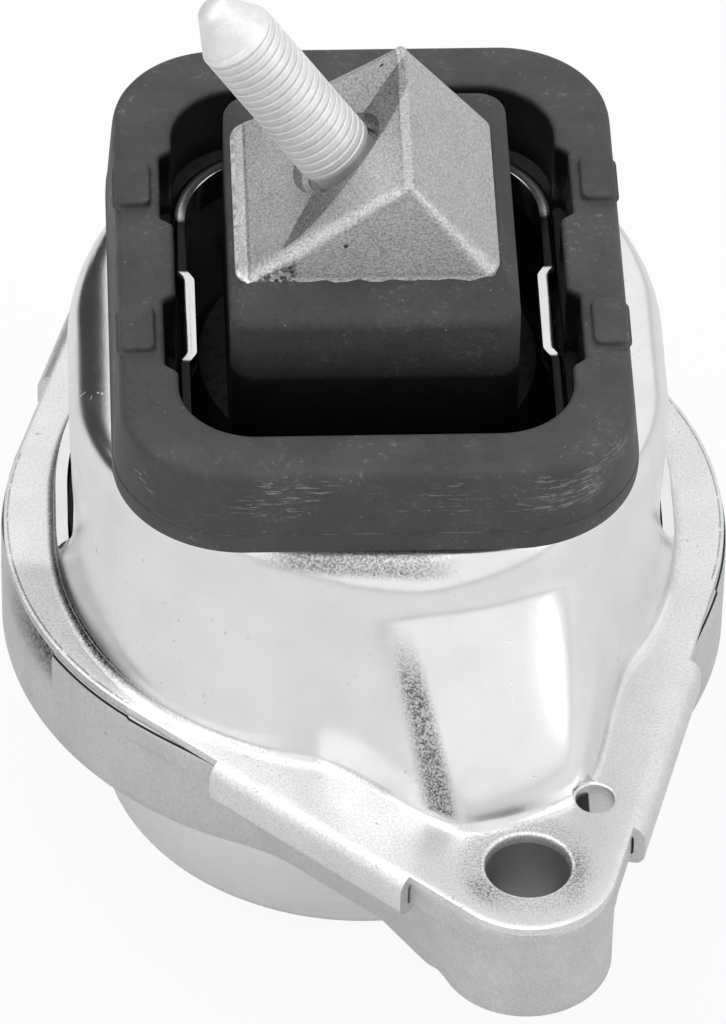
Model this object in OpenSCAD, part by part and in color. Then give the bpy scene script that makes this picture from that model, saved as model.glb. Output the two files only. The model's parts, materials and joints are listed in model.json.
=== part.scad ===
// Hydraulic engine mount with a slanted stud, in millimetres.
// Z is the mount's axis, with zero under the cup. The two ears lie almost along Y.

/* [Flange and ears] */
// Height of the sheet flange's upper face
flange_z = 50; // [49:0.5:51]
// Radius of the round part of the flange
flange_r = 56.4; // [56:0.1:57]
// Distance from the mount's axis to each ear hole
ear_reach = 80.3; // [79:0.1:82]
// Turn of the ear line away from the Y axis
ear_turn = 15.7; // [10:0.1:20]
// Radius of each ear's end
ear_end_r = 13.4; // [13:0.1:14]
// Radius of each ear hole
ear_hole_r = 6.5; // [6:0.1:7]
// Thickness of the pressed sheet
sheet_t = 1.8; // [1.5:0.1:2]
// Depth of the folded side tabs, from the flange's upper face
tab_depth = 7.7; // [7:0.1:8]
// How far the folded side tabs stand out past the flange's straight sides
tab_proud = 2; // [1.9:0.1:2.5]

/* [Housing body] */
// Height of the seat under the stop buffer
seat_z = 88.5; // [86:0.5:90]
// Half width of the body across X, at its foot
body_half_x = 48.4; // [48:0.1:48.6]
// Half depth of the body along Y, at its foot
body_half_y = 55.2; // [54:0.1:55.5]
// How far the body bulges towards each ear, at its foot
bulge_reach = 16; // [12:0.5:17]
// Length of the lanced slot in each side wall
slot_length = 31; // [26:1:32]
// How far the wall above each slot is pressed in, over the spring's ring
slot_dent = 2.4; // [1:0.1:2.4]

/* [Stop buffer] */
// Half width of the buffer across X
buffer_half_x = 38.6; // [38:0.1:39]
// Half depth of the buffer along Y
buffer_half_y = 49.7; // [49:0.1:50]
// Height of the buffer's upper face
buffer_z = 104.3; // [102:0.1:106]
// Height of the four nubs above that face
nub_rise = 1.2; // [0.5:0.1:2]

/* [Core and stud] */
// Half width of the rubber block across X
block_half_x = 21.75; // [21:0.05:22]
// Half depth of the rubber block along Y
block_half_y = 26.7; // [26:0.1:27]
// Height of the rubber ledge round the core
ledge_z = 115; // [114:0.5:116]
// Height of the core's ridge
ridge_z = 132; // [130:0.5:133]
// Lean of the stud away from the vertical, towards -X
stud_lean = 33.5; // [30:0.5:35]
// Outer radius of the stud's thread
stud_r = 6; // [5:0.5:6]
// Length of the stud above the core's slanted face
stud_reach = 34.4; // [30:0.1:38]

/* [Base] */
// Height of the underside of the cast bracket
bracket_z = 30.5; // [29:0.5:31]
// Radius of the bracket's round wall
bracket_r = 56.9; // [56.9:0.1:57.5]
// How far the ears' side faces slope in towards their underside
web_slope = 4.9; // [2:0.1:5.5]
// Radius of the cup
cup_r = 41.25; // [41:0.05:41.3]
// Thickness of the cup's sheet
cup_t = 1.4; // [1.2:0.1:1.6]

/* [Hidden] */
$fn = 64;

ear_line = ear_turn - 90;
tangent = acos((flange_r - ear_end_r) / ear_reach);
side_length = ear_reach * sin(tangent);
bracket_top = flange_z - sheet_t;
over = 1;

// The small locating hole in each ear, in the ear's own frame
peg_along = 69.8;
peg_aside = 14.25;
peg_hole_r = 2.9;
// Where the folded tabs start and end along each straight side
tab_start = 18;
tab_end = 55.7;
fold_r = 2.9;
relief = 0.3;

// The clamped stack between the bracket's shoulder and the flange
stack_z = 37;
stack_r = 51.8;
ring_z = stack_z + cup_t;
bellows_z = ring_z + 1.2;
lower_plate_z = bellows_z + 1.6;
upper_plate_z = lower_plate_z + 1.6;
spring_ring_z = upper_plate_z + 1.6;
spring_rim_z = spring_ring_z + 1.8;
spring_ring_top = 53;

// The stud stands on the core's slanted face
face_low_x = -19;
face_low_z = 116.5;
stud_x = -5.5;
stud_foot_z = face_low_z + (stud_x - face_low_x) * tan(stud_lean);
ridge_x = face_low_x + (ridge_z - face_low_z) / tan(stud_lean);
stud_buried = 16;
// The buried root and the neck above it are as wide as the thread's core
neck_r = stud_r - 0.6;
thread_start = 0.4;

// Smooth step from 0 to 1
function ease(t) = let (u = max(0, min(1, t))) u * u * (3 - 2 * u);

// Points of an arc from angle a to b
function arc(x, y, r, a, b, steps = 8) =
    [for (i = [0:steps]) let (q = a + (b - a) * i / steps) [x + r * cos(q), y + r * sin(q)]];

// A ring of points: rounded rectangle of half sizes a and b and corner radius r at height z.
// Its corners are longer along Y by tall, and bulge draws it out towards both ears.
function outline(a, b, r, z, bulge = 0, tall = 0, steps = 15) = [
    for (corner = [0:3], i = [0:steps])
        let (q = 90 * (corner + i / steps),
             sx = (corner == 0 || corner == 3) ? 1 : -1,
             sy = corner < 2 ? 1 : -1,
             x = sx * (a - r) + r * cos(q),
             y = sy * (b - r - tall) + (r + tall) * sin(q),
             along = x * cos(ear_line) + y * sin(ear_line),
             aside = y * cos(ear_line) - x * sin(ear_line),
             side = along > 0 ? 1 : -1,
             grow = side * bulge * ease((27 - abs(aside - 2.5 * side)) / 19))
        [x + grow * cos(ear_line), y + grow * sin(ear_line), z]
];

// Solid skinned over a stack of rings, capped at both ends
module loft(rings) {
    n = len(rings[0]);
    m = len(rings);
    quads = [for (j = [0:m - 2], i = [0:n - 1])
        [j * n + i, j * n + (i + 1) % n, (j + 1) * n + (i + 1) % n, (j + 1) * n + i]];
    tris = [for (q = quads) each [[q[0], q[2], q[1]], [q[0], q[3], q[2]]]];
    polyhedron(points = [for (r = rings) each r],
               faces = concat(tris, [[for (i = [0:n - 1]) i], [for (i = [n - 1:-1:0]) (m - 1) * n + i]]),
               convexity = 6);
}

// Solid skinned over rings that close on themselves, such as a pressed rim carried round an opening
module loop_loft(rings) {
    n = len(rings[0]);
    m = len(rings);
    quads = [for (j = [0:m - 1], i = [0:n - 1])
        [j * n + i, j * n + (i + 1) % n, ((j + 1) % m) * n + (i + 1) % n, ((j + 1) % m) * n + i]];
    polyhedron(points = [for (r = rings) each r],
               faces = [for (q = quads) each [[q[0], q[2], q[1]], [q[0], q[3], q[2]]]],
               convexity = 8);
}

// Both ears, each drawn with X running out along the ear
module at_ears() {
    for (turn = [0, 180]) rotate([0, 0, ear_line + turn]) children();
}

// The four straight sides, each drawn with X along the side, Y outwards and Z at the flange
module at_sides() {
    at_ears()
        for (flip = [0, 1])
            mirror([0, flip, 0])
                rotate([0, 0, tangent - 90])
                    translate([0, flange_r, flange_z])
                        children();
}

// Sheet between the disc and one ear's end, up to the straight sides
module flange_web() {
    edge = flange_r - 0.05;
    near = [edge * cos(tangent), edge * sin(tangent)];
    far = near + side_length * [sin(tangent), -cos(tangent)];
    polygon([near, far, [far[0], -far[1]], [near[0], -near[1]]]);
}

// Flat flange plate with its two ears, open inside the body's foot and where the folded tabs join it
module flange_plate() {
    foot = [for (p = wall_ring(flange_z, 0.4 - foot_margin)) [p[0], p[1]]];
    difference() {
        translate([0, 0, bracket_top]) {
            cylinder(r = flange_r, h = sheet_t, $fn = 128);
            at_ears() {
                translate([ear_reach, 0, 0]) cylinder(r = ear_end_r, h = sheet_t);
                linear_extrude(sheet_t) flange_web();
            }
        }
        translate([0, 0, bracket_top - over]) linear_extrude(sheet_t + 2 * over) polygon(foot);
        at_sides()
            translate([tab_start - relief, 0.2 - 2 * sheet_t, -sheet_t - over])
                cube([tab_end - tab_start + 2 * relief, 10, sheet_t + 2 * over]);
    }
}

// The body's wall at height z, less an inset: an oval at the foot, squarer at the shoulder
shoulder_z = seat_z - 8.5;
shoulder_a = body_half_x - 2;
shoulder_b = body_half_y - 3.7;
shoulder_corner = 44;
function wall_bulge(z) = bulge_reach * ease(0.97 * (seat_z - z) / (seat_z - flange_z));
function wall_ring(z, inset) =
    let (t = (z - flange_z) / (shoulder_z - flange_z))
    outline(body_half_x + t * (shoulder_a - body_half_x) - inset,
            body_half_y + t * (shoulder_b - body_half_y) - inset,
            45.9 + t * (shoulder_corner - 45.9) - inset, z, wall_bulge(z), 5.3 * (1 - t));

// The wall above each lanced slot is pressed in, less with height and past the slot's ends
slot_y = 5.6;
slot_z = 53;
slot_gap = 1.2;
function dented(ring, depth) = [
    for (p = ring)
        let (past = (abs(p[1] - slot_y) - slot_length / 2) / 12,
             bow = 0.2 * ease(1 - abs(p[1] - slot_y) * 2 / slot_length),
             push = abs(p[0]) > 30 ? depth * (ease(1 - past) + bow) : 0)
        [p[0] - sign(p[0]) * push, p[1], p[2]]];
function dented_wall(z, inset) =
    dented(wall_ring(z, inset), slot_dent * ease(1.05 - (z - slot_z - slot_gap) / 30));
dented_levels = [slot_z + slot_gap + 0.1, 57, 61, 65, 70, 75];

// Rings of the body's sheet: up its outside, over the shoulder, round the collar and down its inside
fillet_r = 1.4;
foot_margin = 2.2;
collar_rise = 4;
collar_x = 29.3;
collar_y = 38.6;
seat_a = 37.3;
seat_b = 45;
seat_corner = 23;
function shoulder_ring(q, inset) =
    let (k = 1 - cos(q))
    outline(shoulder_a - inset + k * (seat_a - shoulder_a + inset),
            shoulder_b - inset + k * (seat_b - shoulder_b + inset),
            shoulder_corner - inset + k * (seat_corner - shoulder_corner + inset),
            shoulder_z + (seat_z - inset - shoulder_z) * sin(q), wall_bulge(shoulder_z) * (1 - k));
function body_rings() = concat(
    [wall_ring(flange_z, -foot_margin)],
    [for (q = [0:30:90]) wall_ring(flange_z + fillet_r * (1 - cos(q)), fillet_r * (sin(q) - 1))],
    [wall_ring(slot_z - 0.1, 0)],
    [for (z = dented_levels) dented_wall(z, 0)],
    [for (q = [0:15:90]) shoulder_ring(q, 0)],
    [outline(collar_x + 1.5, collar_y + 1.5, 12.5, seat_z),
     outline(collar_x, collar_y, 11.5, seat_z + 1.2),
     outline(collar_x, collar_y, 11.5, seat_z + collar_rise),
     outline(collar_x - sheet_t, collar_y - sheet_t, 9.7, seat_z + collar_rise),
     outline(collar_x - sheet_t, collar_y - sheet_t, 9.7, seat_z - sheet_t)],
    [for (q = [90:-15:0]) shoulder_ring(q, sheet_t)],
    [for (i = [len(dented_levels) - 1:-1:0]) dented_wall(dented_levels[i], sheet_t)],
    [wall_ring(slot_z - 0.1, sheet_t),
     wall_ring(flange_z + fillet_r, sheet_t),
     wall_ring(bracket_top, sheet_t - 0.6),
     wall_ring(bracket_top, -foot_margin)]);

// One folded tab: the sheet bent down outside the bracket's side, its end hooked in under a ledge
module side_tab() {
    inner = tab_proud - sheet_t;
    bend = tab_proud - fold_r;
    translate([tab_start, 0, 0])
        rotate([90, 0, 90])
            linear_extrude(tab_end - tab_start)
                polygon(concat([[-2 * sheet_t, 0]], arc(bend, -fold_r, fold_r, 90, 0, 5),
                               [[tab_proud, 1.9 - tab_depth], [tab_proud - 0.6, 0.5 - tab_depth],
                                [inner, -tab_depth], [inner - 1.1, 0.1 - tab_depth],
                                [inner - 1.4, 0.8 - tab_depth], [inner, 2.1 - tab_depth]],
                               arc(bend, -fold_r, fold_r - sheet_t, 0, 90, 3),
                               [[-2 * sheet_t, -sheet_t]]));
}

// Narrow lanced slots, one low in each side wall
module side_slots() {
    for (side = [0, 1])
        mirror([side, 0, 0])
            translate([body_half_x - 8, slot_y - slot_length / 2 + 1, slot_z])
                cube([12, slot_length - 2, slot_gap]);
}

// Pressed sheet housing with its flange, collar, folded tabs and lanced slots
module upper_housing() {
    color([0.86, 0.86, 0.87])
        difference() {
            union() {
                loop_loft(body_rings());
                flange_plate();
                at_sides() side_tab();
                // Stop tabs of the collar, leaning in over the opening's long sides
                for (turn = [0, 180])
                    rotate([0, 0, turn])
                        translate([collar_x - 3, -9.2, seat_z - sheet_t])
                            cube([sheet_t, 18.4, collar_rise + sheet_t]);
            }
            side_slots();
            at_ears() {
                translate([ear_reach, 0, bracket_top - over])
                    cylinder(r = ear_hole_r, h = sheet_t + 2 * over);
                translate([peg_along, peg_aside, bracket_top - over])
                    cylinder(r = peg_hole_r, h = sheet_t + 2 * over, $fn = 32);
            }
        }
}

// A point beside one straight side of the flange in the ear's frame: along the side, off the axis
function side_point(along, off, flip) =
    [off * cos(tangent) + along * sin(tangent), flip * (off * sin(tangent) - along * cos(tangent))];

// Ring of an ear's web at height z: its sides lie inside the flange's straight sides and run into the boss
function web_ring(z, inset) =
    let (path = [[0, inset], [51, inset], [60, 0.45 * inset], [side_length - 1.2, 1.2 + 0.25 * inset]])
    concat([for (p = path) concat(side_point(p[0], flange_r - p[1], -1), z)],
           [for (i = [len(path) - 1:-1:0]) concat(side_point(path[i][0], flange_r - path[i][1], 1), z)]);

// Cast bracket: a shouldered ring with two ears, cored out under the housing's bulges
module base_bracket() {
    height = bracket_top - bracket_z;
    ledge_low_z = flange_z - tab_depth + 1.2;
    color([0.72, 0.72, 0.72])
        difference() {
            union() {
                difference() {
                    translate([0, 0, bracket_z]) cylinder(r = bracket_r, h = height, $fn = 128);
                    translate([0, 0, bracket_z - over]) cylinder(r = cup_r + 0.2, h = height, $fn = 128);
                    translate([0, 0, stack_z]) cylinder(r = stack_r + 0.2, h = height, $fn = 128);
                }
                at_ears()
                    difference() {
                        union() {
                            translate([ear_reach, 0, bracket_z]) cylinder(r = ear_end_r - 0.15, h = height);
                            loft([web_ring(bracket_z, web_slope), web_ring(ledge_low_z, 1.6),
                                  web_ring(ledge_low_z + 0.6, 0.2), web_ring(bracket_top - 0.6, 0.2),
                                  web_ring(bracket_top, 1.2)]);
                        }
                        translate([0, 0, bracket_z - over])
                            cylinder(r = bracket_r - 2.4, h = height + 2 * over, $fn = 128);
                    }
            }
            at_ears() {
                translate([ear_reach, 0, bracket_z - over]) cylinder(r = ear_hole_r, h = height + 2 * over);
                // Cored pocket between the ring wall and the ear's boss
                translate([0, 0, bracket_z + 4])
                    linear_extrude(height)
                        difference() {
                            translate([flange_r - 6, -13.5]) square([22.5, 27]);
                            circle(bracket_r - 0.6, $fn = 128);
                            translate([ear_reach, 0]) circle(ear_end_r - 2.6);
                        }
                // Shallow scallop under the flange's edge, beside the front tab
                rotate([0, 0, -89])
                    translate([bracket_r + 58, 0, bracket_top - 9])
                        cylinder(r = 60, h = 7, $fn = 96);
            }
        }
}

// Ring of the stop buffer's outer wall, set a little to the rear of the axis
function buffer_ring(out_x, out_y, corner, z) =
    [for (p = outline(buffer_half_x + out_x, buffer_half_y + out_y, corner, z)) p + [0, 0.3, 0]];

// Rubber frame on the housing's seat, which the block strikes at the end of its travel
module stop_buffer() {
    inner_x = collar_x + 0.35;
    inner_y = 39.9;
    recess_depth = 2;
    nub_x = 35.75;
    nub_y = 16.6;
    color([0.24, 0.24, 0.24])
        union() {
            difference() {
                loop_loft([
                    buffer_ring(0.9, -0.4, 19.6, seat_z),
                    buffer_ring(1.2, -0.2, 19.6, seat_z + 1),
                    buffer_ring(1, -0.1, 19, seat_z + 4),
                    buffer_ring(0.2, 0, 17.2, buffer_z - 2),
                    buffer_ring(-0.3, -0.4, 16.8, buffer_z - 0.7),
                    buffer_ring(-1.4, -1.5, 16, buffer_z),
                    outline(inner_x + 0.8, inner_y + 0.8, 12.2, buffer_z),
                    outline(inner_x, inner_y, 11.5, buffer_z - 0.8),
                    outline(inner_x, inner_y, 11.5, seat_z + 1.5),
                    outline(collar_x + 1.9, collar_y + 1.9, 12.9, seat_z)]);
                // Recesses of the inner wall beside the nubs
                for (turn = [0, 180], s = [-1, 1])
                    rotate([0, 0, turn])
                        translate([0, 0, seat_z + 2.5])
                            linear_extrude(buffer_z)
                                polygon([[inner_x - over, s * 7.4], [inner_x - over, s * 26],
                                         [inner_x, s * 25.6], [inner_x + recess_depth, s * 23.4],
                                         [inner_x + recess_depth, s * 9.8], [inner_x, s * 7.8]]);
            }
            for (turn = [0, 180], s = [-1, 1])
                rotate([0, 0, turn])
                    translate([nub_x, s * nub_y, buffer_z - 1])
                        linear_extrude(nub_rise + 1) {
                            square([5.4, 7.8], center = true);
                            square([3, 10.2], center = true);
                            for (u = [-1, 1], v = [-1, 1])
                                translate([u * 1.5, v * 3.9]) circle(1.2, $fn = 16);
                        }
        }
}

// Wedge-shaped head of the core, with its ridge along Y
module wedge() {
    base_z = face_low_z;
    front_y = -18.3;
    back_y = 18.3;
    right_x = 18.8;
    polyhedron(
        points = [[face_low_x, front_y + 1.5, base_z], [face_low_x + 1.5, front_y, base_z],
                  [right_x - 2.5, front_y, base_z], [right_x, front_y + 2.5, base_z],
                  [right_x, back_y - 2.5, base_z], [right_x - 2.5, back_y, base_z],
                  [face_low_x + 1.5, back_y, base_z], [face_low_x, back_y - 1.5, base_z],
                  [ridge_x, front_y + 1.2, ridge_z], [ridge_x + 0.9, front_y + 2, ridge_z],
                  [ridge_x + 0.9, back_y - 2, ridge_z], [ridge_x, back_y - 1.2, ridge_z]],
        faces = [[0, 1, 2, 3, 4, 5, 6, 7],
                 [0, 7, 11, 8], [1, 0, 8], [2, 1, 8], [2, 8, 9], [3, 2, 9],
                 [4, 3, 9, 10], [5, 4, 10], [5, 10, 11], [6, 5, 11], [7, 6, 11], [8, 11, 10, 9]]);
}

// Tapered root of the core, buried in the rubber block
module core_root(grow = 0) {
    loft([outline(13 + grow, 13 + grow, 3, 88),
          outline(17.5 + grow, 17 + grow, 3, ledge_z - 2),
          outline(19 + grow, 18.3 + grow, 2, face_low_z)]);
}

// The stud's own frame: Z out along the stud, from the core's slanted face
module on_stud_axis() {
    translate([stud_x, 0, stud_foot_z]) rotate([0, -stud_lean, 0]) children();
}

// Cast aluminium core, with the stud's threaded hole and its shallow spotface
module core() {
    color([0.62, 0.62, 0.62])
        difference() {
            union() {
                wedge();
                core_root();
            }
            on_stud_axis() {
                translate([0, 0, -stud_buried - 1]) cylinder(r = neck_r, h = stud_buried + 10);
                translate([0, 0, -2.2]) cylinder(r = 7.75, h = 12);
            }
        }
}

// Threaded stud with a long lead-in cone and a small pilot nose
module stud() {
    cone_length = 5.4;
    nose_r = 2.6;
    color([0.85, 0.85, 0.85])
        on_stud_axis()
            rotate_extrude()
                polygon(concat(
                    [[0, -stud_buried], [neck_r - 1, -stud_buried], [neck_r, 1 - stud_buried],
                     [neck_r, thread_start - 0.6], [stud_r, thread_start],
                     [stud_r, stud_reach - 1.8 - cone_length], [nose_r + 0.5, stud_reach - 1.8]],
                    arc(0, stud_reach - 1.9, nose_r, 15, 90, 4)));
}

// Section of the spring's cone: down its chamber, round the bonded ring and up to the block
module spring_section() {
    skin_r = 46.3;
    polygon([[0, 70], [16, 68.5], [26, 63], [36, 53], [39.5, spring_ring_z], [42.8, spring_ring_z],
             [42.8, 46.5], [44.4, spring_ring_top], [46.2, spring_ring_top], [46.2, spring_rim_z],
             [stack_r - 0.3, spring_rim_z], [stack_r - 0.3, bracket_top], [skin_r, bracket_top],
             [skin_r, spring_ring_top + 0.2], [44.4, spring_ring_top + 0.4], [42.4, spring_ring_top + 2],
             [26, 84], [0, 86]]);
}

// Rubber spring: a thick cone bonded to the ring, and the block round the core
module main_spring() {
    color([0.2, 0.2, 0.2])
        difference() {
            union() {
                rotate_extrude($fn = 96) spring_section();
                loft([outline(block_half_x - 1.5, block_half_y - 5.5, 5, 76),
                      outline(block_half_x, block_half_y, 4, 84),
                      outline(block_half_x, block_half_y, 4, ledge_z - 1.6),
                      outline(block_half_x - 0.5, block_half_y - 0.5, 3.6, ledge_z - 0.5),
                      outline(block_half_x - 1.6, block_half_y - 1.6, 3, ledge_z)]);
            }
            core_root();
            on_stud_axis() cylinder(r = stud_r + 3, h = 30);
        }
}

// Steel ring bonded to the foot of the spring
module spring_ring() {
    color([0.55, 0.56, 0.58])
        rotate_extrude($fn = 96)
            polygon([[42.8, spring_ring_z], [stack_r, spring_ring_z], [stack_r, spring_rim_z],
                     [46.2, spring_rim_z], [46.2, spring_ring_top], [44.4, spring_ring_top], [42.8, 46.5]]);
}

// Die-cast plate over the inertia track, with the roof of the decoupler's cage
module upper_orifice_plate() {
    roof_z = 50;
    color([0.66, 0.66, 0.68])
        difference() {
            union() {
                translate([0, 0, upper_plate_z])
                    cylinder(r = stack_r, h = spring_ring_z - upper_plate_z, $fn = 96);
                translate([0, 0, upper_plate_z])
                    cylinder(r1 = 39.4, r2 = 37, h = roof_z - upper_plate_z, $fn = 96);
            }
            // Annular track, open below, with a dam between its ends
            translate([0, 0, upper_plate_z - over])
                rotate_extrude(angle = 325, $fn = 96) translate([27.5, 0]) square([7, 6.6]);
            rotate([0, 0, 318]) translate([31, 0, upper_plate_z]) cylinder(r = 2.6, h = 20, $fn = 24);
            translate([0, 0, upper_plate_z - over]) cylinder(r = 23, h = 5.2, $fn = 64);
            for (q = [0:60:300])
                rotate([0, 0, q]) translate([13, 0, upper_plate_z]) cylinder(r = 3, h = 20, $fn = 24);
            translate([0, 0, upper_plate_z]) cylinder(r = 3, h = 20, $fn = 24);
        }
}

// Stamped plate that closes the track and the decoupler's cage from below
module lower_orifice_plate() {
    color([0.6, 0.61, 0.63])
        translate([0, 0, lower_plate_z])
            difference() {
                cylinder(r = stack_r, h = upper_plate_z - lower_plate_z, $fn = 96);
                for (q = [0:60:300])
                    rotate([0, 0, q]) translate([13, 0, -over]) cylinder(r = 3, h = 5, $fn = 24);
                translate([0, 0, -over]) cylinder(r = 3, h = 5, $fn = 24);
                rotate([0, 0, 7]) translate([31, 0, -over]) cylinder(r = 2.6, h = 5, $fn = 24);
            }
}

// Loose rubber disc between the two plates
module decoupler() {
    color([0.15, 0.15, 0.15])
        rotate_extrude()
            polygon([[0, upper_plate_z + 0.8], [18, upper_plate_z + 0.8], [19, upper_plate_z + 0.2],
                     [22.5, upper_plate_z + 0.2], [22.5, upper_plate_z + 4], [19, upper_plate_z + 4],
                     [18, upper_plate_z + 3.4], [0, upper_plate_z + 3.4]]);
}

// Thick band along a path of points in the revolve plane
function band(path, t) =
    let (n = len(path),
         normal = [for (i = [0:n - 1])
             let (d = path[min(i + 1, n - 1)] - path[max(i - 1, 0)]) [-d[1], d[0]] / norm(d)])
    concat([for (i = [0:n - 1]) path[i] + normal[i] * t / 2],
           [for (i = [n - 1:-1:0]) path[i] - normal[i] * t / 2]);

// Rolling rubber bellows that closes the lower chamber inside the cup
module bellows() {
    t = 1.6;
    color([0.13, 0.13, 0.13])
        union() {
            rotate_extrude($fn = 96) translate([36.4, bellows_z]) square([stack_r - 36.4, t]);
            rotate_extrude($fn = 96)
                polygon(band(concat([[37.2, bellows_z + t - 0.3], [37.2, bellows_z - 3]],
                                    arc(31.6, 20, 5.2, 0, -180, 8),
                                    arc(22.4, 28.5, 4, 0, 90, 4), [[12, 32.3], [0, 32.3]]), t));
        }
}

// Flat steel ring under the bellows' rim
module bellows_ring() {
    color([0.6, 0.61, 0.63])
        translate([0, 0, ring_z])
            difference() {
                cylinder(r = stack_r, h = bellows_z - ring_z, $fn = 96);
                translate([0, 0, -over]) cylinder(r = 39.6, h = 4, $fn = 96);
            }
}

// Deep-drawn cup with a dished, vented bottom and an out-turned rim
module cup() {
    corner = 2.2;
    dish = 1.6;
    outside = concat(arc(cup_r - corner, corner, corner, -90, 0, 6),
                     [[cup_r, stack_z], [stack_r, stack_z], [stack_r, stack_z + cup_t]]);
    inside = concat([[cup_r - cup_t, stack_z + cup_t]],
                    arc(cup_r - corner, corner, corner - cup_t, 0, -90, 6));
    color([0.8, 0.8, 0.8])
        difference() {
            rotate_extrude($fn = 128)
                polygon(concat([[0, dish], [22, dish], [24.5, 0]], outside, inside,
                               [[25, cup_t], [22.6, dish + cup_t], [0, dish + cup_t]]));
            cylinder(r = 2, h = 10, $fn = 24);
        }
}

stud();
core();
main_spring();
spring_ring();
stop_buffer();
upper_housing();
base_bracket();
upper_orifice_plate();
lower_orifice_plate();
decoupler();
bellows();
bellows_ring();
cup();
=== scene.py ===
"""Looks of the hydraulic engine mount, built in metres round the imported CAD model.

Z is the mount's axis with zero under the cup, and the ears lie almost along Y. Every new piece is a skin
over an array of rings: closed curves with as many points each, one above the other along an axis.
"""

import json
import math

import bmesh
import bpy
import numpy as np
from mathutils import Matrix

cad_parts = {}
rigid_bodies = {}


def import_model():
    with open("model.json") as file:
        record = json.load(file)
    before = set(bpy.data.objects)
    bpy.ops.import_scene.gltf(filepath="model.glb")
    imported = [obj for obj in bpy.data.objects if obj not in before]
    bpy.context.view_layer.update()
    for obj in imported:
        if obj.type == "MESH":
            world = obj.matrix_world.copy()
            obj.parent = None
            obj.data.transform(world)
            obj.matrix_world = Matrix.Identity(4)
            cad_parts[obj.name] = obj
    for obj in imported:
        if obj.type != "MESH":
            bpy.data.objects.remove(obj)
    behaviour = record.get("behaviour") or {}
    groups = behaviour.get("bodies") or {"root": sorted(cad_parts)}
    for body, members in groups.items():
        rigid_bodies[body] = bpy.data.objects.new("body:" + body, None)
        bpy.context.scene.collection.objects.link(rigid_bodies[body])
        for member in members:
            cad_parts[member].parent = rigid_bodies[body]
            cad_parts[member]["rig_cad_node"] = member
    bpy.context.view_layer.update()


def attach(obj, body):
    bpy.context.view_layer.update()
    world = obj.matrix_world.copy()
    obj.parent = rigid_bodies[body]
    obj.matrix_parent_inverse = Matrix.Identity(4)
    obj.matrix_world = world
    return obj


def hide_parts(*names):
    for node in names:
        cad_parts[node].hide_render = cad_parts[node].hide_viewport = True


MM = 0.001

# Sizes in millimetres
FLANGE_Z, FLANGE_R, SHEET_T = 50.0, 56.4, 1.8
EAR_REACH, EAR_END_R, EAR_HOLE_R = 80.3, 13.4, 6.5
EAR_LINE = math.radians(15.7 - 90)
PEG_ALONG, PEG_ASIDE, PEG_HOLE_R = 69.8, 14.25, 2.9
TAB_START, TAB_END, TAB_DEPTH, TAB_PROUD, FOLD_R = 18.0, 55.7, 7.7, 2.0, 2.9
SEAT_Z, SHOULDER_Z = 88.5, 80.0
FOOT_A, FOOT_B, FOOT_CORNER, FOOT_TALL = 48.4, 55.2, 45.9, 5.3
SHOULDER_A, SHOULDER_B, SHOULDER_CORNER = 46.4, 51.5, 44.0
SEAT_A, SEAT_B, SEAT_CORNER = 37.3, 45.0, 23.0
BULGE, FILLET_R = 16.0, 1.6
SLOT_Y, SLOT_Z, SLOT_GAP, SLOT_LENGTH, SLOT_DENT = 5.6, 53.0, 1.2, 31.0, 2.75
COLLAR_A, COLLAR_B, COLLAR_CORNER = 29.3, 38.6, 16.0
BUFFER_A, BUFFER_B, BUFFER_Z, BUFFER_INNER_B = 38.6, 49.7, 104.3, 39.9
NUB_X, NUB_Y, NUB_A, NUB_B, NUB_CORNER, NUB_RISE = 35.75, 16.6, 2.65, 5.05, 1.25, 1.2
BLOCK_A, BLOCK_B = 21.75, 26.7
FACE_LOW_X, FACE_LOW_Z, RIDGE_Z = -19.0, 116.5, 132.0
STUD_LEAN = math.radians(33.5)
STUD_X, STUD_R, STUD_REACH, STUD_PITCH = -5.5, 6.0, 34.4, 1.5
THREAD_DEPTH, CONE_LENGTH, NOSE_LENGTH = 0.5, 5.4, 1.8
LENS_X, LENS_Y, LENS_LENGTH, LENS_COS, LENS_SIN = -14.1, -15.8, 36.5, 0.546, 0.838
LENS_LEFT, LENS_RIGHT, LENS_POWER = 1.6, 5.6, 0.55
BRACKET_Z, BRACKET_R, WEB_SLOPE = 30.5, 56.9, 4.9
STACK_Z, STACK_R = 37.0, 51.8
CUP_R, CUP_T = 41.25, 1.4

STUD_FOOT_Z = FACE_LOW_Z + (STUD_X - FACE_LOW_X) * math.tan(STUD_LEAN)
TANGENT = math.acos((FLANGE_R - EAR_END_R) / EAR_REACH)
SIDE_LENGTH = math.sqrt(EAR_REACH**2 - (FLANGE_R - EAR_END_R) ** 2)
EAR_TANGENT = math.atan2(EAR_END_R * math.sin(TANGENT), EAR_REACH + EAR_END_R * math.cos(TANGENT))
BRACKET_TOP = FLANGE_Z - SHEET_T

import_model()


# Camera, lights and floor


def aim_camera():
    """The photograph's view: a long lens, 43 degrees above the horizon and a few degrees off the Y axis."""
    right = (0.99916, -0.03827, 0.01509)
    up = (0.01518, 0.68391, 0.72942)
    back = (-0.03823, -0.72857, 0.68391)
    camera = bpy.data.objects.new("camera", bpy.data.cameras.new("camera"))
    camera.data.lens = 301.3
    camera.data.sensor_width = 36
    camera.data.clip_end = 20
    place = Matrix.Translation((-0.05146, -0.97777, 0.9685))
    camera.matrix_world = place @ Matrix((right, up, back)).transposed().to_4x4()
    bpy.context.collection.objects.link(camera)
    bpy.context.scene.camera = camera


# Shader maths


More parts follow.
